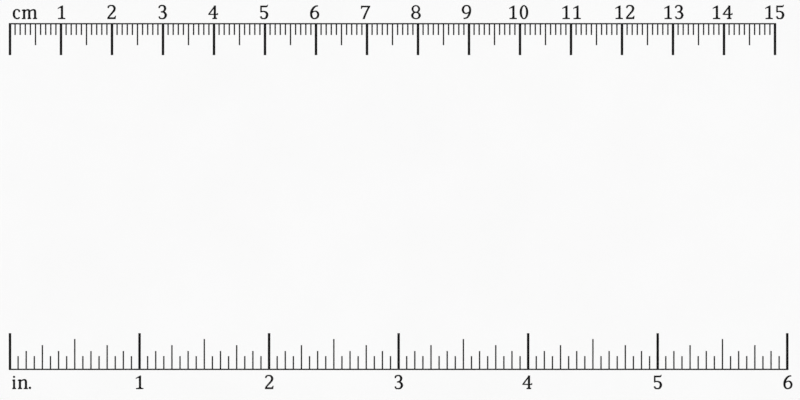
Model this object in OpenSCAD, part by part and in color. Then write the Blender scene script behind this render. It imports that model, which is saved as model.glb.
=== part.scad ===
// A flat white measuring board with a centimetre scale along one long edge and an inch scale along
// the other. The marks are engraved in a stiff plastic plate and filled with black enamel. A sheet
// of cork, stuck under the plate with an adhesive film, keeps the board from sliding.
//
// The origin is the middle of the underside. X runs along the scales away from their zero, Y points
// to the centimetre edge, and Z is up. All lengths are in millimetres.

/* [Board] */
// Length of the face plate, along the scales
board_length = 160; // [60:1:300]
// Width of the face plate, from the inch edge to the centimetre edge
board_width = 80; // [60:1:140]
// Thickness of the face plate
plate_thickness = 3; // [1.5:0.5:6]
// Radius of the face plate's corners, seen from above
corner_radius = 3; // [1:0.5:4]
// Rounding of the rim around the face
rim_radius = 0.5; // [0.2:0.1:0.8]

/* [Backing] */
// Thickness of the cork sheet
cork_thickness = 0.8; // [0.5:0.1:3]
// Thickness of the adhesive film between the cork and the plate
film_thickness = 0.2; // [0.1:0.05:0.5]
// Distance of the cork and film inside the plate's edges
backing_inset = 3; // [1:0.5:10]
// Radius of the corners of the cork and film
backing_corner_radius = 2; // [1:0.5:8]

/* [Engraving] */
// Depth of the engraved grooves
groove_depth = 0.3; // [0.15:0.05:0.6]
// Distance of the enamel's top below the face
enamel_recess = 0.02; // [0.02:0.01:0.1]
// Width of the fine lines
fine_line = 0.28; // [0.15:0.01:0.35]
// Width of the bold lines at whole centimetres and inches
bold_line = 0.5; // [0.3:0.05:0.6]
// Distance of the zero lines from the plate's left edge
zero_inset = 3.8; // [3:0.1:4.5]

/* [Centimetre scale] */
// Distance of the base line's outer edge from the plate's edge
cm_base_inset = 5.3; // [5:0.1:12]
// Reach of the centimetre lines from the base line's outer edge
centimetre_reach = 6.3; // [5:0.1:9]
// Reach of the half-centimetre lines
half_centimetre_reach = 4.35; // [3.5:0.05:4.9]
// Reach of the millimetre lines
millimetre_reach = 2.35; // [1.5:0.05:3.4]
// Gap between the base line and the foot of the numerals
cm_numeral_gap = 0.8; // [0.4:0.1:1]

/* [Inch scale] */
// Distance of the base line's outer edge from the plate's edge
inch_base_inset = 6.65; // [6:0.05:12]
// Reach of the inch lines from the base line's outer edge
inch_reach = 7.25; // [6.5:0.05:10]
// Reach of the half-inch lines
half_inch_reach = 6.1; // [5.4:0.05:6.4]
// Reach of the quarter-inch lines
quarter_inch_reach = 4.9; // [4.3:0.05:5.3]
// Reach of the eighth-inch lines
eighth_inch_reach = 3.75; // [3.2:0.05:4.2]
// Reach of the sixteenth-inch lines
sixteenth_inch_reach = 2.75; // [1.5:0.05:3.1]
// Gap between the base line and the top of the numerals
inch_numeral_gap = 1.1; // [0.5:0.1:1.5]

/* [Lettering] */
// Height of the numerals
numeral_height = 2.6; // [2:0.1:3]
// Distance between the middles of a numeral's two digits, in hundredths of the numeral height
digit_pitch = 83; // [78:1:90]
// Distance of the unit names' first letter from the zero line's middle
unit_label_offset = 0.4; // [0:0.1:1]
// Spread of the letters past their drawn edges, in hundredths of the numeral height
letter_spread = 1.75; // [0:0.25:2]

/* [Hidden] */
MM_PER_CM = 10;
MM_PER_INCH = 25.4;
SIXTEENTHS_PER_INCH = 16;
MILLIMETRE = 1;
SIXTEENTH = MM_PER_INCH / SIXTEENTHS_PER_INCH;

// Whole centimetres and inches that fit on the plate, with room for the last numeral and the rim
scale_room = board_length - zero_inset - numeral_height - rim_radius;
cm_count = floor(scale_room / MM_PER_CM);
inch_count = floor(scale_room / MM_PER_INCH);
cm_length = cm_count * MM_PER_CM;
inch_length = inch_count * MM_PER_INCH;

// Colours of the materials
WHITE = "white";
BLACK = "black";
TAN = "burlywood";
FILM = "lightgray";

// Heights of the layers, from the underside of the cork
film_z = cork_thickness;
plate_z = film_z + film_thickness;
face_z = plate_z + plate_thickness;
groove_z = face_z - groove_depth;
enamel_depth = groove_depth - enamel_recess;
// How far a groove's cutter stands above the face
cutter_overshoot = 0.5;

// Places of the scales on the face
zero_x = zero_inset - board_length / 2;
cm_base_y = board_width / 2 - cm_base_inset;
inch_base_y = inch_base_inset - board_width / 2;
// Foot of each row of numerals
cm_foot_y = cm_base_y + cm_numeral_gap;
inch_foot_y = inch_base_y - inch_numeral_gap - numeral_height;
// Direction in which each scale's lines reach from its base line
CM_SIDE = -1;
INCH_SIDE = 1;
// How far each of the first numerals stands to the right of its line's middle
CM_NUDGES = [0.1, -0.1, -0.1, -0.2, -0.2, -0.3, -0.3, -0.4, -0.5, -0.3, 0.1, 0.5, 0.1, -0.4, -0.1];
INCH_NUDGES = [0, 0, 0, -0.2, 0, 0.1];

// Letter shapes are drawn in hundredths of the numeral height, from x = 0 at their left and y = 0 at
// their foot. A curved stroke is a list of [x, y, width] points that a smooth curve passes through.
GLYPH_UNITS = 100;
// Straight pieces between two points of a curved stroke
CURVE_STEPS = 4;
// Sides of a closed oval
OVAL_SIDES = 36;
// Overall widths of the digits 0 to 9
DIGIT_WIDTHS = [66, 56, 66, 67, 74, 62, 71, 69, 72, 71];

// Point between b and c on the smooth curve through a, b, c and d, for t from 0 to 1
function curve_point(a, b, c, d, t) =
    (2 * b + (c - a) * t + (2 * a - 5 * b + 4 * c - d) * t * t + (3 * b - a - 3 * c + d) * t * t * t) / 2;

// Points of the smooth curve through a list of points, with their widths
function curve(points) =
    let (last = len(points) - 1)
    [
        for (i = [0 : last - 1])
            for (k = [0 : CURVE_STEPS - 1])
                curve_point(points[max(i - 1, 0)], points[i], points[i + 1],
                            points[min(i + 2, last)], k / CURVE_STEPS),
        points[last]
    ];

// Unit vector along a curve at its point i
function heading(points, i) =
    let (a = points[max(i - 1, 0)], b = points[min(i + 1, len(points) - 1)], d = [b.x - a.x, b.y - a.y])
    d / norm(d);

// Point on a stroke's edge beside its point i: side 1 is the left edge, side -1 the right edge
function edge_point(points, i, side) =
    let (h = heading(points, i), half_width = points[i].z / 2)
    [points[i].x - side * h.y * half_width, points[i].y + side * h.x * half_width];

// Points of an oval that fills the box from one corner to the other
function oval(low, high) =
    let (middle = (low + high) / 2, radii = (high - low) / 2)
    [for (i = [0 : OVAL_SIDES - 1]) let (a = 360 * i / OVAL_SIDES)
        [middle.x + radii.x * cos(a), middle.y + radii.y * sin(a)]];

// Outline moved outwards by letter_spread, for points that run anticlockwise around it
function spread(points) =
    let (last = len(points) - 1)
    [for (i = [0 : last])
        let (a = points[i > 0 ? i - 1 : last], b = points[i], c = points[i < last ? i + 1 : 0],
             u = (b - a) / norm(b - a), v = (c - b) / norm(c - b))
        b + letter_spread * [u.y + v.y, -u.x - v.x] / (1 + u * v)];

// Places of the lines whose number on the scale is first, first + step, and so on up to last
function places(pitch, first, step, last) = [for (i = [first : step : last]) zero_x + i * pitch];

// Nudge of numeral n, which is 0 past the end of the list
function nudge(nudges, n) = n <= len(nudges) ? nudges[n - 1] : 0;

// Part of a letter, from points that run anticlockwise around it
module shape(points) {
    polygon(spread(points));
}

// Curved pen stroke with a width that changes along it
module stroke(points) {
    line = curve(points);
    last = len(line) - 1;
    shape(concat(
        [for (i = [0 : last]) edge_point(line, i, -1)],
        [for (i = [last : -1 : 0]) edge_point(line, i, 1)]));
}

// Closed oval stroke with sides thicker than its top and bottom
module bowl(low, high, side, cap) {
    grow = [letter_spread, letter_spread];
    wall = [side, cap] + grow;
    outer = oval(low - grow, high + grow);
    inner = oval(low + wall, high - wall);
    count = len(outer);
    polygon(concat(outer, inner), [[for (i = [0 : count - 1]) i], [for (i = [0 : count - 1]) count + i]]);
}

// Upright stem on a foot serif with small brackets: stem and foot are [left, right]
module stem_on_foot(stem, foot, top, foot_height = 6, bracket = 7) {
    shape([
        [foot[0], 0], [foot[1], 0], [foot[1], foot_height],
        [stem[1] + bracket, foot_height + 1], [stem[1] + bracket / 3, foot_height + bracket / 3 + 1],
        [stem[1], foot_height + bracket + 1], [stem[1], top], [stem[0], top],
        [stem[0], foot_height + bracket + 1], [stem[0] - bracket / 3, foot_height + bracket / 3 + 1],
        [stem[0] - bracket, foot_height + 1], [foot[0], foot_height]]);
}

module digit_0() {
    bowl([1.5, -1.5], [64.5, 103.5], 15, 7);
}

module digit_1() {
    stem_on_foot([24.5, 38.5], [3, 56], 90);
    shape([[1, 77], [10, 81.5], [19, 84], [38.5, 84], [38.5, 100], [32, 100], [20, 93.5], [1, 82]]);
}

module digit_2() {
    stroke([[8.5, 83, 8], [10.5, 93, 10], [20, 100, 8.5], [33, 101.5, 7], [48, 96.5, 12],
            [56.5, 81, 15], [52.5, 64, 13.5], [40, 48, 11.5], [24, 30, 10], [7, 9, 9]]);
    shape([[3, 0], [63, 0], [65.5, 23], [61, 23], [56, 14], [50, 11], [4, 11]]);
}

module digit_3() {
    stroke([[8.5, 83, 8], [10.5, 93, 10], [20, 100, 8.5], [32, 101.5, 7], [46, 96.5, 12],
            [53, 80, 16], [48, 64, 12], [37, 56, 8], [22, 52.5, 6]]);
    stroke([[22, 52.5, 6], [38, 52, 8], [51, 45, 13], [58.5, 29, 16], [52, 11.5, 13],
            [40, 3.5, 9], [28, 2.5, 7], [14, 6, 9], [8, 18, 9]]);
}

module digit_4() {
    stem_on_foot([44, 58], [33.5, 66.5], 100, 6, 5);
    shape([[2.5, 31.5], [74, 31.5], [74, 43.5], [71, 43.5], [68, 38.5], [58, 37.5], [13, 37.5],
           [46, 83], [54, 100], [49, 100], [2.5, 37.5]]);
}

module digit_5() {
    shape([[4, 51], [8, 50], [13.5, 56], [13, 89], [48, 89], [56, 92], [60, 106], [56.5, 106],
           [52, 99.5], [4, 99.5]]);
    stroke([[7, 52, 5], [20, 56.5, 7], [33, 56, 8], [46.5, 50, 12], [54.3, 38, 15], [54.3, 25, 15.5],
            [48, 10.5, 13], [38, 3.5, 9], [27, 2.5, 7], [14, 6, 10], [6.5, 19, 10]]);
}

module digit_6() {
    stroke([[61, 98.5, 7], [50, 97.5, 8.5], [37, 91.5, 11], [22.5, 76, 14], [13, 56, 15],
            [10.8, 36, 14.5], [14, 17, 13], [24, 5.5, 9.5], [36.5, 2.5, 7], [50, 7, 10],
            [60.5, 18, 12.5], [63.8, 33, 13.5], [60, 47, 12.5], [51, 56, 9.5], [40, 58.5, 7],
            [31, 56.5, 6.5]]);
    stroke([[35, 57.8, 6.5], [25, 53.5, 6.5], [15, 45.5, 6]]);
}

module digit_7() {
    shape([[1.5, 77], [5, 77], [9, 85], [14, 89], [54, 89], [42, 65], [33, 46], [23, 24], [14, 0],
           [28, 0], [35.5, 22], [45, 46], [55.5, 69], [69, 93], [69, 98.5], [2, 98.5]]);
}

module digit_8() {
    bowl([3.7, 47], [66.3, 103.5], 12.5, 6.5);
    bowl([0.5, -1.5], [71.5, 53.5], 15, 6.5);
}

module digit_9() {
    stroke([[15, 4.5, 7], [28, 5.5, 8.5], [42, 12, 10.5], [54, 29, 13], [61.5, 49, 14], [63.3, 68, 13.5],
            [59.5, 87, 12], [50, 98, 9], [37, 101.2, 7], [22, 97.5, 9.5], [11.5, 85, 13],
            [8.2, 70, 14.5], [12, 54, 13], [22, 44.5, 9.5], [34, 41.8, 7], [43, 44, 6.5]]);
    stroke([[39, 42.6, 6.5], [49, 47, 6.5], [59, 55, 6]]);
}

module digit(value) {
    if (value == 0) digit_0();
    if (value == 1) digit_1();
    if (value == 2) digit_2();
    if (value == 3) digit_3();
    if (value == 4) digit_4();
    if (value == 5) digit_5();
    if (value == 6) digit_6();
    if (value == 7) digit_7();
    if (value == 8) digit_8();
    if (value == 9) digit_9();
}

// One digit with its middle at x
module digit_at(value, x) {
    translate([x - DIGIT_WIDTHS[value] / 2, 0])
        digit(value);
}

// A numeral of one or two digits with the middle of its foot at a place on the face
module numeral_outline(value, x, y) {
    translate([x, y])
        scale(numeral_height / GLYPH_UNITS)
            if (value < 10) {
                digit_at(value, 0);
            } else {
                digit_at(floor(value / 10), -digit_pitch / 2);
                digit_at(value % 10, digit_pitch / 2);
            }
}

// Flag at the top left of a small letter's stem
module letter_flag(x, stem_right) {
    shape([[x, 62], [stem_right, 62], [stem_right, 71], [x + 8, 71], [x, 68]]);
}

// Arch from one stem of an m or n to the next, with the second stem's right edge at right
module letter_arch(left, right) {
    stroke([[left, 56, 6], [left + 8, 64, 7], [(left + right) / 2 + 1, 69, 9], [right - 10, 64.5, 13],
            [right - 7.2, 52, 14.4], [right - 7.2, 40, 14.4]]);
}

module letter_c() {
    stroke([[55, 53, 8], [54, 62, 11], [44, 70, 7], [33, 71, 6], [22, 65, 10], [14.5, 50, 14.5],
            [14.5, 27, 14.5], [22, 10.5, 12], [34, 3.5, 8], [46, 3.5, 8], [56, 12, 8]]);
}

module letter_m() {
    letter_flag(0, 23);
    stem_on_foot([9, 23], [0, 26], 71, 6, 3);
    letter_arch(21, 62);
    stem_on_foot([47.6, 62], [43, 68], 42, 6, 3);
    letter_arch(60, 106);
    stem_on_foot([91.6, 106], [84, 113], 42, 6, 3);
}

module letter_n() {
    letter_flag(0, 22);
    stem_on_foot([7.6, 22], [1, 30], 71, 6, 3);
    letter_arch(20, 67);
    stem_on_foot([52.6, 67], [44, 74], 42, 6, 3);
}

module letter_i() {
    letter_flag(0, 19);
    stem_on_foot([5.6, 19], [0, 26], 71, 6, 3);
    shape(oval([5.5, 84], [19.5, 98]));
}

module full_stop() {
    shape(oval([0, 0], [16, 16]));
}

// Black line along the outer side of a scale, from its first line to its last
module base_line(outer_y, side, length) {
    translate([zero_x - bold_line / 2, side > 0 ? outer_y : outer_y - fine_line])
        square([length + bold_line, fine_line]);
}

// Lines across a scale at a list of places, from the base line's inner edge to their reach
module scale_lines(at, outer_y, side, reach, width) {
    for (x = at)
        translate([x - width / 2, side > 0 ? outer_y + fine_line : outer_y - reach])
            square([width, reach - fine_line]);
}

module cm_baseline_outline() {
    base_line(cm_base_y, CM_SIDE, cm_length);
}

module cm_centimetre_outline() {
    at = places(MILLIMETRE, 0, MM_PER_CM, cm_length);
    scale_lines(at, cm_base_y, CM_SIDE, centimetre_reach, bold_line);
}

module cm_half_outline() {
    at = places(MILLIMETRE, MM_PER_CM / 2, MM_PER_CM, cm_length);
    scale_lines(at, cm_base_y, CM_SIDE, half_centimetre_reach, fine_line);
}

module cm_millimetre_outline() {
    for (n = [1 : MM_PER_CM / 2 - 1]) {
        at = places(MILLIMETRE, n, MM_PER_CM / 2, cm_length);
        scale_lines(at, cm_base_y, CM_SIDE, millimetre_reach, fine_line);
    }
}

module cm_unit_outline() {
    translate([zero_x + unit_label_offset, cm_foot_y])
        scale(numeral_height / GLYPH_UNITS) {
            letter_c();
            translate([75, 0])
                letter_m();
        }
}

module cm_numeral_outline(n) {
    numeral_outline(n, zero_x + n * MM_PER_CM + nudge(CM_NUDGES, n), cm_foot_y);
}

// Lines of the inch scale whose number of sixteenths is first, first + step, and so on
module inch_outline(first, step, reach, width) {
    at = places(SIXTEENTH, first, step, inch_count * SIXTEENTHS_PER_INCH);
    scale_lines(at, inch_base_y, INCH_SIDE, reach, width);
}

module inch_baseline_outline() {
    base_line(inch_base_y, INCH_SIDE, inch_length);
}

module inch_whole_outline() {
    inch_outline(0, SIXTEENTHS_PER_INCH, inch_reach, bold_line);
}

module inch_half_outline() {
    inch_outline(SIXTEENTHS_PER_INCH / 2, SIXTEENTHS_PER_INCH, half_inch_reach, fine_line);
}

module inch_quarter_outline() {
    inch_outline(SIXTEENTHS_PER_INCH / 4, SIXTEENTHS_PER_INCH / 2, quarter_inch_reach, fine_line);
}

module inch_eighth_outline() {
    inch_outline(SIXTEENTHS_PER_INCH / 8, SIXTEENTHS_PER_INCH / 4, eighth_inch_reach, fine_line);
}

module inch_sixteenth_outline() {
    inch_outline(1, 2, sixteenth_inch_reach, fine_line);
}

module inch_unit_outline() {
    translate([zero_x + unit_label_offset, inch_foot_y])
        scale(numeral_height / GLYPH_UNITS) {
            translate([3, 0])
                letter_i();
            translate([45, 0])
                letter_n();
            translate([127, 0])
                full_stop();
        }
}

module inch_numeral_outline(n) {
    numeral_outline(n, zero_x + n * MM_PER_INCH + nudge(INCH_NUDGES, n), inch_foot_y);
}

// Every engraved mark
module all_outlines() {
    cm_baseline_outline();
    cm_centimetre_outline();
    cm_half_outline();
    cm_millimetre_outline();
    cm_unit_outline();
    for (n = [1 : cm_count])
        cm_numeral_outline(n);
    inch_baseline_outline();
    inch_whole_outline();
    inch_half_outline();
    inch_quarter_outline();
    inch_eighth_outline();
    inch_sixteenth_outline();
    inch_unit_outline();
    for (n = [1 : inch_count])
        inch_numeral_outline(n);
}

// Cutter for the grooves of an outline
module grooves() {
    translate([0, 0, groove_z])
        linear_extrude(groove_depth + cutter_overshoot)
            children();
}

// Enamel that fills the grooves of an outline
module enamel() {
    color(BLACK)
        translate([0, 0, groove_z])
            linear_extrude(enamel_depth)
                children();
}

// Half cross-section of a slab at its edge, with its upper rim rounded where rim is over 0
module slab_edge(reach, height, rim) {
    square([reach - rim, height]);
    if (rim > 0) {
        square([reach, height - rim]);
        translate([reach - rim, height - rim])
            circle(r = rim, $fn = 64);
    }
}

// Flat slab with rounded corners, centred on the origin and standing on z = 0
module slab(length, width, height, corner, rim = 0) {
    inner_length = length - 2 * corner;
    inner_width = width - 2 * corner;
    translate([-inner_length / 2, -inner_width / 2, 0])
        cube([inner_length, inner_width, height]);
    for (sx = [-1, 1], sy = [-1, 1])
        translate([sx * inner_length / 2, sy * inner_width / 2, 0])
            rotate_extrude($fn = 96)
                slab_edge(corner, height, rim);
    for (s = [0, 1]) {
        rotate([90, 0, 180 * s])
            translate([inner_length / 2, 0, -inner_width / 2])
                linear_extrude(inner_width)
                    slab_edge(corner, height, rim);
        rotate([90, 0, 180 * s + 90])
            translate([inner_width / 2, 0, -inner_length / 2])
                linear_extrude(inner_length)
                    slab_edge(corner, height, rim);
    }
}

module face_plate() {
    color(WHITE)
        difference() {
            translate([0, 0, plate_z])
                slab(board_length, board_width, plate_thickness, corner_radius, rim_radius);
            grooves()
                all_outlines();
        }
}

// One sheet of the backing, between the underside of the board and the plate
module backing_sheet(z, thickness) {
    translate([0, 0, z])
        slab(board_length - 2 * backing_inset, board_width - 2 * backing_inset, thickness,
             backing_corner_radius);
}

module adhesive_film() {
    color(FILM)
        backing_sheet(film_z, film_thickness);
}

module cork_backing() {
    color(TAN)
        backing_sheet(0, cork_thickness);
}

module cm_baseline() {
    enamel()
        cm_baseline_outline();
}

module cm_centimetre_lines() {
    enamel()
        cm_centimetre_outline();
}

module cm_half_lines() {
    enamel()
        cm_half_outline();
}

module cm_millimetre_lines() {
    enamel()
        cm_millimetre_outline();
}

module cm_unit_label() {
    enamel()
        cm_unit_outline();
}

module cm_numeral(n) {
    enamel()
        cm_numeral_outline(n);
}

module inch_baseline() {
    enamel()
        inch_baseline_outline();
}

module inch_whole_lines() {
    enamel()
        inch_whole_outline();
}

module inch_half_lines() {
    enamel()
        inch_half_outline();
}

module inch_quarter_lines() {
    enamel()
        inch_quarter_outline();
}

module inch_eighth_lines() {
    enamel()
        inch_eighth_outline();
}

module inch_sixteenth_lines() {
    enamel()
        inch_sixteenth_outline();
}

module inch_unit_label() {
    enamel()
        inch_unit_outline();
}

module inch_numeral(n) {
    enamel()
        inch_numeral_outline(n);
}

face_plate();
adhesive_film();
cork_backing();
cm_baseline();
cm_centimetre_lines();
cm_half_lines();
cm_millimetre_lines();
cm_unit_label();
inch_baseline();
inch_whole_lines();
inch_half_lines();
inch_quarter_lines();
inch_eighth_lines();
inch_sixteenth_lines();
inch_unit_label();
for (n = [1 : cm_count])
    cm_numeral(n);
for (n = [1 : inch_count])
    inch_numeral(n);
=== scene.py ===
"""Looks of a white measuring board with a centimetre scale and an inch scale.

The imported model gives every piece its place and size, in metres: X runs along the scales away from
their zero, Y points to the centimetre edge, and Z is up. This script gives each piece its finish,
shapes the pressed cork under the board, and sets the floor, the light and the camera.
"""

import logging
import math
from abc import ABC, abstractmethod
from dataclasses import dataclass, field
from enum import Enum
from typing import ClassVar

import bpy
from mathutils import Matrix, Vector

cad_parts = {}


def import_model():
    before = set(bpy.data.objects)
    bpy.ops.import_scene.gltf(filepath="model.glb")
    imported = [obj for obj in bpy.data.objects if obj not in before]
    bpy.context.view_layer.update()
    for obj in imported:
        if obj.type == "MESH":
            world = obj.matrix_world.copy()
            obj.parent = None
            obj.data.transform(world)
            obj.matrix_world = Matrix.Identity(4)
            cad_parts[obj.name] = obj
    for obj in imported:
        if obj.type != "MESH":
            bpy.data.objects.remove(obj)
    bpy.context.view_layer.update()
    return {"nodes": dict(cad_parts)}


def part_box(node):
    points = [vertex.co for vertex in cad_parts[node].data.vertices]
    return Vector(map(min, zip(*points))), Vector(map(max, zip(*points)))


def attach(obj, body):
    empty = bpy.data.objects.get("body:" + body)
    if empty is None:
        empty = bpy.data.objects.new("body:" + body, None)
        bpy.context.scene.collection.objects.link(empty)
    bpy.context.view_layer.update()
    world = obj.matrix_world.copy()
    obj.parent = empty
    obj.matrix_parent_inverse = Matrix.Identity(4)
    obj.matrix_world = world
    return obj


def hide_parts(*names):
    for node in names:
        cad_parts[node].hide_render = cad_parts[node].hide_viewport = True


LOG = logging.getLogger("measuring_board")
MM = 0.001
BODY = "root"
CENTIMETRE_LINES = "cm_centimetre_lines"

Colour = tuple[float, float, float]
Range = tuple[float, float]
Socket = bpy.types.NodeSocket
Feed = float | Colour | Socket

# The range of a share, and the same range turned round
FULL: Range = (0.0, 1.0)
FALLING: Range = (1.0, 0.0)
# The part of soft noise's range that makes it show as clouds
CLOUD_RANGE: Range = (0.3, 0.7)


class Slot(Enum):
    """Material slots of the record that the finishes stand for."""

    PLASTIC = "white_plastic"
    ENAMEL = "black_enamel"
    CORK = "cork"
    FILM = "adhesive_film"


class Layer(Enum):
    """CAD nodes of the board's layers, from its face down."""

    PLATE = "face_plate"
    FILM = "adhesive_film"
    CORK = "cork_backing"


def deselect_all() -> None:
    """Leaves no object selected or active."""
    for obj in bpy.context.selected_objects:
        obj.select_set(False)
    bpy.context.view_layer.objects.active = None


class NodeSheet:
    """Adds and joins the nodes of a material, a world, a node group or a modifier."""

    def __init__(self, tree: bpy.types.NodeTree) -> None:
        """Starts on a node tree, which it empties."""
        self.tree = tree
        self.tree.nodes.clear()

    def add(self, kind: str, settings: dict[str, str | bool] | None = None,
            **inputs: Feed) -> bpy.types.Node:
        """Adds a shader node, most kinds of which a modifier's tree takes too.

        Args:
            kind: The node's type without the leading ShaderNode.
            settings: Values of the node's own properties.
            **inputs: For each input socket, a plain value or the output socket that feeds it. An
                underscore stands for a space in the socket's name.

        Returns:
            The new node.
        """
        node = self.tree.nodes.new("ShaderNode" + kind)
        for name, value in (settings or {}).items():
            setattr(node, name, value)
        for name, value in inputs.items():
            self.feed(node.inputs[name.replace("_", " ")], value)
        return node

    def feed(self, socket: Socket, value: Feed) -> None:
        """Gives an input socket a plain value or a link.

        Args:
            socket: The input socket.
            value: A number, a colour, a vector or an output socket.
        """
        if isinstance(value, Socket):
            self.tree.links.new(value, socket)
        elif socket.type == "RGBA" and len(value) == 3:
            socket.default_value = (*value, 1.0)
        else:
            socket.default_value = value

    def object_coordinates(self) -> Socket:
        """Returns the place on the piece, in metres in the board's frame."""
        return self.add("TexCoord").outputs["Object"]

    def maths(self, operation: str, a: Feed, b: Feed = 0.0) -> Socket:
        """Works out one value from two.

        Args:
            operation: The Math node's operation.
            a: First value or socket.
            b: Second value or socket, where the operation has one.

        Returns:
            The result's socket.
        """
        node = self.add("Math", {"operation": operation})
        self.feed(node.inputs[0], a)
        self.feed(node.inputs[1], b)
        return node.outputs[0]

    def vector_maths(self, operation: str, a: Feed, b: Feed) -> Socket:
        """Works out one vector from two.

        Args:
            operation: The Vector Math node's operation.
            a: First vector or socket.
            b: Second vector or socket.

        Returns:
            The result's socket.
        """
        node = self.add("VectorMath", {"operation": operation})
        self.feed(node.inputs[0], a)
        self.feed(node.inputs[1], b)
        return node.outputs["Vector"]

    def scaled(self, vector: Feed, factor: Feed) -> Socket:
        """Returns a vector multiplied by a number."""
        node = self.add("VectorMath", {"operation": "SCALE"}, Vector=vector, Scale=factor)
        return node.outputs["Vector"]

    def spread(self, value: Feed, source: Range, target: Range = FULL, smooth: bool = False) -> Socket:
        """Maps a value from one range to another and holds it there.

        Args:
            value: The value or socket.
            source: The values that become the ends of the new range.
            target: The new range.
            smooth: True for a soft start and end.

        Returns:
            The mapped value's socket.
        """
        kind = "SMOOTHSTEP" if smooth else "LINEAR"
        node = self.add("MapRange", {"interpolation_type": kind, "clamp": True}, Value=value,
                        From_Min=source[0], From_Max=source[1], To_Min=target[0], To_Max=target[1])
        return node.outputs["Result"]

    def blend(self, share: Feed, a: Feed, b: Feed) -> Socket:
        """Mixes two colours.

        Args:
            share: Share of the second colour.
            a: First colour or socket.
            b: Second colour or socket.

        Returns:
            The mixed colour's socket.
        """
        node = self.add("Mix", {"data_type": "RGBA"})
        colours = [socket for socket in node.inputs if socket.type == "RGBA"]
        self.feed(node.inputs["Factor"], share)
        self.feed(colours[0], a)
        self.feed(colours[1], b)
        return next(socket for socket in node.outputs if socket.type == "RGBA")

    def noise(self, place: Socket, size: float, detail: float = 2.0) -> Socket:
        """Returns soft noise whose blotches have the size in metres, with detail as finer layers."""
        return self.add("TexNoise", Vector=place, Scale=1 / size, Detail=detail).outputs["Fac"]

    def bump(self, height: Socket, distance: float, strength: float) -> Socket:
        """Returns the normal of fine relief, in which a height of 1 stands for distance in metres."""
        node = self.add("Bump", Strength=strength, Distance=distance, Height=height)
        return node.outputs["Normal"]


class NodeGroup:
    """A shader effect that several finishes use, built once and placed with their own values."""

    def __init__(self, name: str, inputs: list[str], outputs: list[str]) -> None:
        """Makes the group's empty tree, with the place on the piece as its first input.

        Args:
            name: The group's name.
            inputs: Names of the number inputs.
            outputs: Names of the number outputs.
        """
        self.group = bpy.data.node_groups.new(name, "ShaderNodeTree")
        self.sheet = NodeSheet(self.group)
        self.group.interface.new_socket(name="Place", in_out="INPUT", socket_type="NodeSocketVector")
        for label in inputs:
            self.group.interface.new_socket(name=label, in_out="INPUT", socket_type="NodeSocketFloat")
        for label in outputs:
            self.group.interface.new_socket(name=label, in_out="OUTPUT", socket_type="NodeSocketFloat")
        self.start = self.group.nodes.new("NodeGroupInput").outputs
        self.end = self.group.nodes.new("NodeGroupOutput").inputs

    def place(self, sheet: NodeSheet, **inputs: Feed) -> bpy.types.NodeOutputs:
        """Places the group in a material.

        Args:
            sheet: The material's nodes.
            **inputs: Values or sockets of its inputs, an underscore for a space.

        Returns:
            The placed group's outputs.
        """
        node = sheet.tree.nodes.new("ShaderNodeGroup")
        node.node_tree = self.group
        for name, value in inputs.items():
            sheet.feed(node.inputs[name.replace("_", " ")], value)
        return node.outputs


class SurfaceGrain(NodeGroup):
    """Fine grain, cloudy mottling and hairline scratches of a smooth surface."""

    grain_detail: float = 1.0
    mottle_detail: float = 3.0
    hairline_angles: tuple[float, ...] = (0.35, -0.9, 1.7)
    hairline_squeeze: float = 0.012
    hairline_range: Range = (0.72, 0.8)

    def __init__(self) -> None:
        """Builds the group, whose number inputs are sizes in metres."""
        super().__init__("surface_grain", ["Grain Size", "Mottle Size", "Scratch Width"],
                         ["Grain", "Mottle", "Scratches"])
        sheet, place = self.sheet, self.start["Place"]
        grain = self.cloud(place, self.start["Grain Size"], self.grain_detail)
        mottle = self.cloud(place, self.start["Mottle Size"], self.mottle_detail)
        scratches: Feed = 0.0
        for angle in self.hairline_angles:
            scratches = sheet.maths("MAXIMUM", self.hairlines(place, angle), scratches)
        sheet.feed(self.end["Grain"], grain)
        sheet.feed(self.end["Mottle"], sheet.spread(mottle, CLOUD_RANGE))
        sheet.feed(self.end["Scratches"], scratches)

    def cloud(self, place: Socket, size: Socket, detail: float) -> Socket:
        """Returns soft noise whose blotches have a linked size, with detail as finer layers."""
        scale = self.sheet.maths("DIVIDE", 1.0, size)
        return self.sheet.add("TexNoise", Vector=place, Scale=scale, Detail=detail).outputs["Fac"]

    def hairlines(self, place: Socket, angle: float) -> Socket:
        """Adds thin broken streaks that run one way.

        Args:
            place: The place it is read at.
            angle: Angle of the streaks from X, in radians.

        Returns:
            The streaks' mask.
        """
        turned = self.sheet.add("Mapping", Vector=place, Rotation=(0.0, 0.0, angle),
                                Scale=(self.hairline_squeeze, 1.0, 1.0))
        streaks = self.cloud(turned.outputs["Vector"], self.start["Scratch Width"], 0.0)
        return self.sheet.spread(streaks, self.hairline_range)


class EdgeBand(NodeGroup):
    """Mask that rises towards the outline of a flat rectangular layer centred on the origin."""

    def __init__(self) -> None:
        """Builds the group."""
        super().__init__("edge_band", ["Half Length", "Half Width", "Band"], ["Mask"])
        sheet = self.sheet
        along, across, _ = sheet.add("SeparateXYZ", Vector=self.start["Place"]).outputs
        inside_x = sheet.maths("SUBTRACT", self.start["Half Length"], sheet.maths("ABSOLUTE", along))
        inside_y = sheet.maths("SUBTRACT", self.start["Half Width"], sheet.maths("ABSOLUTE", across))
        depth = sheet.maths("DIVIDE", sheet.maths("MINIMUM", inside_x, inside_y), self.start["Band"])
        sheet.feed(self.end["Mask"], sheet.spread(depth, FULL, FALLING, smooth=True))


class Effects:
    """The shader effects that the finishes share."""

    def __init__(self) -> None:
        """Builds every effect once."""
        self.grain = SurfaceGrain()
        self.edge = EdgeBand()


@dataclass(frozen=True)
class GranuleMaps:
    """Sockets of the cork pattern, each from 0 to 1."""

    tone: Socket
    joint: Socket
    crumb: Socket


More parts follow.
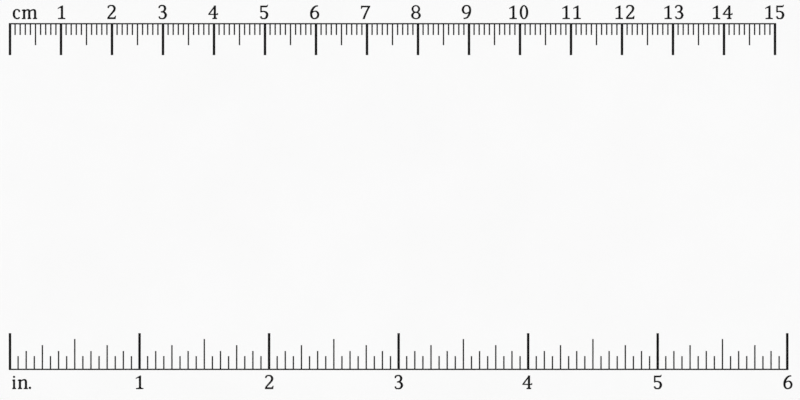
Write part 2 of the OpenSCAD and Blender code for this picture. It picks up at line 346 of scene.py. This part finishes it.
@dataclass(frozen=True)
class Granules:
    """Pattern of pressed cork, which the finish draws as colour and the sheet carries as relief."""

    granule_size: float = 1.5 * MM
    fine_size: float = 0.7 * MM
    crumb_size: float = 0.42 * MM
    bend_size: float = 0.9 * MM
    bend_detail: float = 3.0
    bend_middle: Colour = (0.5, 0.5, 0.5)
    wobble: float = 1.1 * MM
    fine_share: float = 0.35
    joint_reach: float = 0.14

    def draw(self, sheet: NodeSheet, place: Socket) -> GranuleMaps:
        """Adds the pattern's nodes to a material's or a modifier's tree.

        Args:
            sheet: The tree's nodes.
            place: The place on the piece.

        Returns:
            Each granule's tone, the joints between the granules, and each crumb's tone.
        """
        bend = sheet.add("TexNoise", Vector=place, Scale=1 / self.bend_size, Detail=self.bend_detail)
        swing = sheet.vector_maths("SUBTRACT", bend.outputs["Color"], self.bend_middle)
        spot = sheet.vector_maths("ADD", place, sheet.scaled(swing, self.wobble))
        edge = sheet.add("TexVoronoi", {"feature": "DISTANCE_TO_EDGE"}, Vector=spot,
                         Scale=1 / self.granule_size)
        coarse = self.cell_tone(sheet, spot, self.granule_size)
        fine = self.cell_tone(sheet, spot, self.fine_size)
        tone = sheet.maths("ADD", sheet.maths("MULTIPLY", coarse, 1 - self.fine_share),
                           sheet.maths("MULTIPLY", fine, self.fine_share))
        joint = sheet.spread(edge.outputs["Distance"], (0.0, self.joint_reach), FALLING, smooth=True)
        return GranuleMaps(tone, joint, self.cell_tone(sheet, spot, self.crumb_size))

    def cell_tone(self, sheet: NodeSheet, spot: Socket, size: float) -> Socket:
        """Returns the tone of the cell that a spot lies in, with cells of the size in metres."""
        cells = sheet.add("TexVoronoi", Vector=spot, Scale=1 / size)
        return sheet.add("SeparateXYZ", Vector=cells.outputs["Color"]).outputs["X"]


class Finish(ABC):
    """A surface finish, which makes its own material."""

    name: ClassVar[str]
    slot: ClassVar[Slot]

    def material(self, effects: Effects) -> bpy.types.Material:
        """Makes the material.

        Args:
            effects: The shared shader effects.

        Returns:
            The new material.
        """
        made = bpy.data.materials.new(self.name)
        made.use_nodes = True
        sheet = NodeSheet(made.node_tree)
        surface = self.surface(sheet, effects)
        sheet.add("OutputMaterial", Surface=surface.outputs["BSDF"])
        LOG.info("finish %s is mixed", self.name)
        return made

    @abstractmethod
    def surface(self, sheet: NodeSheet, effects: Effects) -> bpy.types.Node:
        """Builds the finish's shader.

        Args:
            sheet: The material's nodes.
            effects: The shared shader effects.

        Returns:
            The shader node.
        """


@dataclass(frozen=True)
class WhitePlastic(Finish):
    """Satin white plastic with a fine moulded grain and a trace of handling at its rim."""

    half_length: float
    half_width: float
    colour: Colour = (0.945, 0.945, 0.945)
    clouded: Colour = (0.93, 0.93, 0.929)
    handled: Colour = (0.9, 0.898, 0.888)
    grain_size: float = 0.12 * MM
    mottle_size: float = 14 * MM
    scratch_width: float = 0.25 * MM
    scratch_depth: float = 0.6
    scratch_roughness: float = 0.12
    smudge_size: float = 9 * MM
    smudge_range: Range = (0.3, 0.75)
    handled_band: float = 1.2 * MM
    roughness: Range = (0.42, 0.49)
    sheen_level: float = 0.4
    refraction: float = 1.49
    relief: float = 0.01 * MM
    relief_strength: float = 0.22

    name = "white_satin_plastic"
    slot = Slot.PLASTIC

    def surface(self, sheet: NodeSheet, effects: Effects) -> bpy.types.Node:
        """Builds the plastic's shader.

        Args:
            sheet: The material's nodes.
            effects: The shared shader effects.

        Returns:
            The shader node.
        """
        place = sheet.object_coordinates()
        marks = effects.grain.place(sheet, Place=place, Grain_Size=self.grain_size,
                                    Mottle_Size=self.mottle_size, Scratch_Width=self.scratch_width)
        rim = effects.edge.place(sheet, Place=place, Half_Length=self.half_length,
                                 Half_Width=self.half_width, Band=self.handled_band)["Mask"]
        smudge = sheet.spread(sheet.noise(place, self.smudge_size), self.smudge_range)
        colour = sheet.blend(marks["Mottle"], self.colour, self.clouded)
        colour = sheet.blend(sheet.maths("MULTIPLY", rim, smudge), colour, self.handled)
        rough = sheet.spread(marks["Mottle"], FULL, self.roughness)
        scuffs = sheet.maths("MULTIPLY", marks["Scratches"], self.scratch_roughness)
        rough = sheet.maths("ADD", rough, scuffs)
        cuts = sheet.maths("MULTIPLY", marks["Scratches"], self.scratch_depth)
        height = sheet.maths("SUBTRACT", marks["Grain"], cuts)
        shader = sheet.add("BsdfPrincipled", Base_Color=colour, Roughness=rough, IOR=self.refraction,
                           Normal=sheet.bump(height, self.relief, self.relief_strength))
        shader.inputs["Specular IOR Level"].default_value = self.sheen_level
        return shader


@dataclass(frozen=True)
class BlackEnamel(Finish):
    """Black enamel, wiped into the grooves and dried to a soft satin."""

    colour: Colour = (0.003, 0.003, 0.0032)
    dusty: Colour = (0.008, 0.008, 0.0085)
    ripple_size: float = 0.09 * MM
    patch_size: float = 1.8 * MM
    scratch_width: float = 0.1 * MM
    roughness: Range = (0.37, 0.55)
    sheen_level: float = 0.15
    relief: float = 0.01 * MM
    relief_strength: float = 0.3

    name = "black_enamel_filling"
    slot = Slot.ENAMEL

    def surface(self, sheet: NodeSheet, effects: Effects) -> bpy.types.Node:
        """Builds the enamel's shader.

        Args:
            sheet: The material's nodes.
            effects: The shared shader effects.

        Returns:
            The shader node.
        """
        marks = effects.grain.place(sheet, Place=sheet.object_coordinates(),
                                    Grain_Size=self.ripple_size, Mottle_Size=self.patch_size,
                                    Scratch_Width=self.scratch_width)
        shader = sheet.add("BsdfPrincipled",
                           Base_Color=sheet.blend(marks["Mottle"], self.colour, self.dusty),
                           Roughness=sheet.spread(marks["Mottle"], FULL, self.roughness),
                           Normal=sheet.bump(marks["Grain"], self.relief, self.relief_strength))
        shader.inputs["Specular IOR Level"].default_value = self.sheen_level
        return shader


@dataclass(frozen=True)
class PressedCork(Finish):
    """Fine pressed cork: pale and brown granules, darker joints and small bark crumbs."""

    granules: Granules
    half_length: float
    half_width: float
    pale: Colour = (0.73, 0.52, 0.31)
    brown: Colour = (0.49, 0.3, 0.15)
    bark: Colour = (0.15, 0.07, 0.033)
    joint: Colour = (0.27, 0.145, 0.07)
    tone_range: Range = (0.15, 0.8)
    pore_size: float = 0.12 * MM
    pore_detail: float = 1.0
    pore_range: Range = (0.55, 0.8)
    pore_share: float = 0.4
    pore_height: float = 1.2
    joint_range: Range = (0.3, 1.0)
    joint_share: float = 0.5
    crumb_range: Range = (0.93, 0.94)
    crumb_share: float = 0.85
    worn_band: float = 2.0 * MM
    worn_share: float = 0.22
    roughness: float = 0.88
    relief: float = 0.05 * MM
    relief_strength: float = 0.8

    name = "pressed_cork"
    slot = Slot.CORK

    def surface(self, sheet: NodeSheet, effects: Effects) -> bpy.types.Node:
        """Builds the cork's shader.

        Args:
            sheet: The material's nodes.
            effects: The shared shader effects.

        Returns:
            The shader node.
        """
        place = sheet.object_coordinates()
        maps = self.granules.draw(sheet, place)
        pores = sheet.noise(place, self.pore_size, self.pore_detail)
        worn = effects.edge.place(sheet, Place=place, Half_Length=self.half_length,
                                  Half_Width=self.half_width, Band=self.worn_band)["Mask"]
        colour = sheet.blend(sheet.spread(maps.tone, self.tone_range), self.brown, self.pale)
        pored = sheet.spread(pores, self.pore_range, (0.0, self.pore_share))
        colour = sheet.blend(pored, colour, self.joint)
        jointed = sheet.spread(maps.joint, self.joint_range, (0.0, self.joint_share))
        colour = sheet.blend(jointed, colour, self.joint)
        crumbed = sheet.spread(maps.crumb, self.crumb_range, (0.0, self.crumb_share))
        colour = sheet.blend(crumbed, colour, self.bark)
        colour = sheet.blend(sheet.maths("MULTIPLY", worn, self.worn_share), colour, self.bark)
        height = sheet.maths("ADD", maps.crumb, sheet.maths("MULTIPLY", pores, self.pore_height))
        height = sheet.maths("SUBTRACT", height, maps.joint)
        return sheet.add("BsdfPrincipled", Base_Color=colour, Roughness=self.roughness,
                         Normal=sheet.bump(height, self.relief, self.relief_strength))


@dataclass(frozen=True)
class AdhesiveLayer(Finish):
    """Milky adhesive film, seen only at its cut edge."""

    colour: Colour = (0.74, 0.73, 0.67)
    cloudy: Colour = (0.62, 0.6, 0.52)
    grain_size: float = 0.2 * MM
    mottle_size: float = 3 * MM
    scratch_width: float = 0.5 * MM
    roughness: Range = (0.3, 0.45)
    relief: float = 0.02 * MM
    relief_strength: float = 0.2

    name = "milky_adhesive"
    slot = Slot.FILM

    def surface(self, sheet: NodeSheet, effects: Effects) -> bpy.types.Node:
        """Builds the film's shader.

        Args:
            sheet: The material's nodes.
            effects: The shared shader effects.

        Returns:
            The shader node.
        """
        marks = effects.grain.place(sheet, Place=sheet.object_coordinates(),
                                    Grain_Size=self.grain_size, Mottle_Size=self.mottle_size,
                                    Scratch_Width=self.scratch_width)
        return sheet.add("BsdfPrincipled",
                         Base_Color=sheet.blend(marks["Mottle"], self.colour, self.cloudy),
                         Roughness=sheet.spread(marks["Grain"], CLOUD_RANGE, self.roughness),
                         Normal=sheet.bump(marks["Grain"], self.relief, self.relief_strength))


@dataclass
class CorkSheet:
    """Pressed cork under the board, with its granules standing out of its underside and edges."""

    granules: Granules
    corner_radius: float = 2 * MM
    cell: float = 0.38 * MM
    edge_rows: int = 4
    relief: float = 0.11 * MM
    joint_share: float = 0.65
    tone_share: float = 0.35
    smooth_angle: float = 60.0

    def build(self, finish: bpy.types.Material) -> bpy.types.Object:
        """Models the sheet in the space of its CAD node.

        Args:
            finish: The cork's material.

        Returns:
            The finished piece.
        """
        low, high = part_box(Layer.CORK.value)
        size = high - low
        deselect_all()
        bpy.ops.mesh.primitive_grid_add(
            x_subdivisions=round(size.x / self.cell), y_subdivisions=round(size.y / self.cell),
            size=1.0, location=((low.x + high.x) / 2, (low.y + high.y) / 2, low.z))
        piece = bpy.context.active_object
        piece.name = "cork_sheet"
        piece.scale = (size.x, size.y, 1.0)
        bpy.ops.object.transform_apply(location=True, rotation=True, scale=True)
        self.round_corners(piece.data, high)
        self.raise_edges(size.z)
        self.press(piece, low.z, high.z)
        bpy.ops.object.shade_smooth_by_angle(angle=math.radians(self.smooth_angle))
        piece.data.materials.clear()
        piece.data.materials.append(finish)
        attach(piece, BODY)
        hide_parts(Layer.CORK.value)
        LOG.info("%s is cut, with %d faces", piece.name, len(piece.data.polygons))
        return piece

    def round_corners(self, mesh: bpy.types.Mesh, corner: Vector) -> None:
        """Draws the grid's square corners in to round ones.

        Args:
            mesh: The grid, centred on the origin.
            corner: The grid's square corner at the greatest X and Y.
        """
        radius = self.corner_radius
        for vertex in mesh.vertices:
            past_x = (abs(vertex.co.x) - corner.x) / radius + 1
            past_y = (abs(vertex.co.y) - corner.y) / radius + 1
            if past_x > 0 and past_y > 0:
                round_x = past_x * math.sqrt(1 - past_y ** 2 / 2)
                round_y = past_y * math.sqrt(1 - past_x ** 2 / 2)
                vertex.co.x = math.copysign(corner.x + (round_x - 1) * radius, vertex.co.x)
                vertex.co.y = math.copysign(corner.y + (round_y - 1) * radius, vertex.co.y)

    def raise_edges(self, thickness: float) -> None:
        """Raises the active grid to a closed slab with a plain upper face.

        Args:
            thickness: The slab's thickness.
        """
        rise = {"value": (0.0, 0.0, thickness / self.edge_rows)}
        bpy.ops.object.mode_set(mode="EDIT")
        bpy.ops.mesh.select_all(action="SELECT")
        for _ in range(self.edge_rows):
            bpy.ops.mesh.extrude_region_move(TRANSFORM_OT_translate=rise)
        bpy.ops.mesh.dissolve_faces()
        bpy.ops.mesh.select_all(action="SELECT")
        bpy.ops.mesh.normals_make_consistent(inside=False)
        bpy.ops.object.mode_set(mode="OBJECT")

    def press(self, piece: bpy.types.Object, bottom: float, top: float) -> None:
        """Presses the joints and the lower granules in, everywhere but at the glued upper face.

        Args:
            piece: The slab.
            bottom: Height of its underside.
            top: Height of its upper face.
        """
        group = bpy.data.node_groups.new("granule_relief", "GeometryNodeTree")
        sheet = NodeSheet(group)
        group.interface.new_socket(name="Slab", in_out="INPUT", socket_type="NodeSocketGeometry")
        group.interface.new_socket(name="Slab", in_out="OUTPUT", socket_type="NodeSocketGeometry")
        place = group.nodes.new("GeometryNodeInputPosition").outputs["Position"]
        normal = group.nodes.new("GeometryNodeInputNormal").outputs["Normal"]
        maps = self.granules.draw(sheet, place)
        height = sheet.add("SeparateXYZ", Vector=place).outputs["Z"]
        free = sheet.spread(height, ((bottom + top) / 2, top), FALLING)
        lower = sheet.spread(maps.tone, FULL, (self.tone_share, 0.0))
        depth = sheet.maths("ADD", sheet.maths("MULTIPLY", maps.joint, self.joint_share), lower)
        depth = sheet.maths("MULTIPLY", sheet.maths("MULTIPLY", depth, free), -self.relief)
        pressed = group.nodes.new("GeometryNodeSetPosition")
        sheet.feed(pressed.inputs["Geometry"], group.nodes.new("NodeGroupInput").outputs["Slab"])
        sheet.feed(pressed.inputs["Offset"], sheet.scaled(normal, depth))
        sheet.feed(group.nodes.new("NodeGroupOutput").inputs["Slab"], pressed.outputs["Geometry"])
        modifier = piece.modifiers.new("granules", "NODES")
        modifier.node_group = group
        bpy.ops.object.modifier_apply(modifier=modifier.name)


@dataclass
class Board:
    """The layers of the board and the marks in its face."""

    nodes: dict[str, bpy.types.Object]
    effects: Effects
    granules: Granules = Granules()
    finishes: dict[Slot, bpy.types.Material] = field(default_factory=dict)

    def mix_finishes(self) -> None:
        """Makes the material of each finish."""
        _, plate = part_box(Layer.PLATE.value)
        _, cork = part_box(Layer.CORK.value)
        kinds = (WhitePlastic(plate.x, plate.y), BlackEnamel(), AdhesiveLayer(),
                 PressedCork(self.granules, cork.x, cork.y))
        for finish in kinds:
            self.finishes[finish.slot] = finish.material(self.effects)

    def slot_of(self, node: str) -> Slot:
        """Returns the slot of a CAD node.

        Args:
            node: The node's name.

        Returns:
            Its layer's slot, or the enamel's for a mark.
        """
        layers = {Layer.PLATE.value: Slot.PLASTIC, Layer.FILM.value: Slot.FILM,
                  Layer.CORK.value: Slot.CORK}
        return layers.get(node, Slot.ENAMEL)

    def dress(self) -> None:
        """Gives every CAD node its finish."""
        for name, node in self.nodes.items():
            slot = self.slot_of(name)
            for material_slot in node.material_slots:
                material_slot.material = self.finishes[slot]
            LOG.info("%s wears %s", name, slot.value)

    def build(self) -> None:
        """Dresses the CAD nodes and adds the cork sheet."""
        self.mix_finishes()
        self.dress()
        CorkSheet(self.granules).build(self.finishes[Slot.CORK])


@dataclass(frozen=True)
class Lamp:
    """Distant soft lamp.

    Strength is in watts a square metre. In degrees, softness is the lamp's width as seen from the
    board, tilt its angle from straight overhead, and turn its angle about Z. Glossy surfaces show the
    lamp only where mirrored is True.
    """

    name: str
    strength: float
    softness: float
    tilt: float
    turn: float
    mirrored: bool

    def hang(self) -> None:
        """Adds the lamp to the scene."""
        data = bpy.data.lights.new(self.name, "SUN")
        data.energy = self.strength
        data.angle = math.radians(self.softness)
        lamp = bpy.data.objects.new(self.name, data)
        lamp.rotation_euler = (math.radians(self.tilt), 0.0, math.radians(self.turn))
        lamp.visible_glossy = self.mirrored
        bpy.context.scene.collection.objects.link(lamp)
        LOG.info("%s is hung", self.name)


@dataclass
class Studio:
    """Pale floor, soft lamps and the world around the board."""

    lamps: tuple[Lamp, ...] = (
        Lamp("key_lamp", strength=2.09, softness=40.0, tilt=35.0, turn=-90.0, mirrored=False),
        Lamp("fill_lamp", strength=0.5, softness=80.0, tilt=60.0, turn=40.0, mirrored=True),
        Lamp("under_lamp", strength=2.2, softness=12.0, tilt=180.0, turn=0.0, mirrored=False),
    )
    floor_colour: Colour = (0.66, 0.66, 0.665)
    floor_shade: float = 0.985
    floor_cloud: float = 0.4
    floor_size: float = 16.0
    floor_gap: float = 0.02 * MM
    first_hit_depth: float = 1.5
    dome_strength: float = 0.42
    horizon_range: Range = (-0.01, 0.01)
    backdrop: Colour = (0.683, 0.683, 0.687)
    ceiling: Colour = (0.04, 0.04, 0.041)
    ceiling_range: Range = (0.5, 0.95)

    def build(self) -> None:
        """Builds the floor, the lamps and the world."""
        self.lay_floor()
        for lamp in self.lamps:
            lamp.hang()
        self.set_world()

    def lay_floor(self) -> None:
        """Lays a plain floor, open from below to the view and to the lamp under it.

        Only a shadow ray from a surface that the view meets first passes the floor, so the lamp lights
        the board's underside there, and no light from it shines back on the floor.
        """
        deselect_all()
        bpy.ops.mesh.primitive_plane_add(size=self.floor_size, location=(0, 0, -self.floor_gap))
        floor = bpy.context.active_object
        floor.name = "floor"
        paint = bpy.data.materials.new("floor_paint")
        paint.use_nodes = True
        sheet = NodeSheet(paint.node_tree)
        cloud = sheet.spread(sheet.noise(sheet.object_coordinates(), self.floor_cloud), CLOUD_RANGE)
        shade = tuple(self.floor_shade * channel for channel in self.floor_colour)
        matte = sheet.add("BsdfDiffuse", Color=sheet.blend(cloud, self.floor_colour, shade))
        clear = sheet.add("BsdfTransparent")
        below = sheet.add("NewGeometry").outputs["Backfacing"]
        path = sheet.add("LightPath").outputs
        first = sheet.maths("LESS_THAN", path["Ray Depth"], self.first_hit_depth)
        lit = sheet.maths("MULTIPLY", path["Is Shadow Ray"], first)
        mix = sheet.add("MixShader", Fac=sheet.maths("MAXIMUM", below, lit))
        sheet.feed(mix.inputs[1], matte.outputs["BSDF"])
        sheet.feed(mix.inputs[2], clear.outputs["BSDF"])
        sheet.add("OutputMaterial", Surface=mix.outputs["Shader"])
        floor.data.materials.append(paint)
        LOG.info("floor is laid")

    def set_world(self) -> None:
        """Sets a plain light dome over the floor, with the backdrop's colour where it is seen."""
        world = bpy.data.worlds.new("studio")
        bpy.context.scene.world = world
        world.use_nodes = True
        sheet = NodeSheet(world.node_tree)
        path = sheet.add("LightPath").outputs
        up = sheet.add("SeparateXYZ", Vector=sheet.add("TexCoord").outputs["Generated"]).outputs["Z"]
        overhead = sheet.spread(up, self.ceiling_range, smooth=True)
        overhead = sheet.maths("MULTIPLY", overhead, path["Is Glossy Ray"])
        seen = sheet.blend(overhead, self.backdrop, self.ceiling)
        mirrored = sheet.maths("ADD", path["Is Glossy Ray"], path["Is Transmission Ray"])
        mix = sheet.add("MixShader", Fac=sheet.maths("ADD", path["Is Camera Ray"], mirrored))
        strength = sheet.spread(up, self.horizon_range, (0.0, self.dome_strength))
        dome = sheet.add("Background", Color=(1.0, 1.0, 1.0), Strength=strength)
        view = sheet.add("Background", Color=seen, Strength=1.0)
        sheet.feed(mix.inputs[1], dome.outputs["Background"])
        sheet.feed(mix.inputs[2], view.outputs["Background"])
        sheet.add("OutputWorld", Surface=mix.outputs["Shader"])
        LOG.info("world is set")


@dataclass
class OverheadCamera:
    """Camera straight above the board, framed as the photograph is.

    Pixels are the photograph's, in which the middle of the centimetre scale lies at scale_middle_px
    from the left edge.
    """

    frame_width_px: float = 800.0
    px_per_mm: float = 5.1
    scale_middle_px: float = 392.5
    lens: float = 150.0
    sensor: float = 36.0

    def aim(self) -> None:
        """Makes the camera and points it straight down at the marked face."""
        _, plate_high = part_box(Layer.PLATE.value)
        scale_low, scale_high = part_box(CENTIMETRE_LINES)
        px_per_metre = self.px_per_mm / MM
        distance = self.frame_width_px / px_per_metre * self.lens / self.sensor
        past_middle = (self.frame_width_px / 2 - self.scale_middle_px) / px_per_metre
        middle_x = (scale_low.x + scale_high.x) / 2 + past_middle
        data = bpy.data.cameras.new("overhead")
        data.lens = self.lens
        data.sensor_width = self.sensor
        camera = bpy.data.objects.new("overhead", data)
        camera.location = (middle_x, 0.0, plate_high.z + distance)
        bpy.context.scene.collection.objects.link(camera)
        bpy.context.scene.camera = camera
        LOG.info("camera is %.0f mm above the face", distance / MM)


def main() -> None:
    """Loads the frame, then builds and dresses every piece around it."""
    logging.basicConfig(level=logging.INFO, format="%(message)s")
    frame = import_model()
    OverheadCamera().aim()
    Board(frame["nodes"], Effects()).build()
    Studio().build()
    bpy.context.scene.view_settings.view_transform = "Standard"


if __name__ == "__main__":
    main()
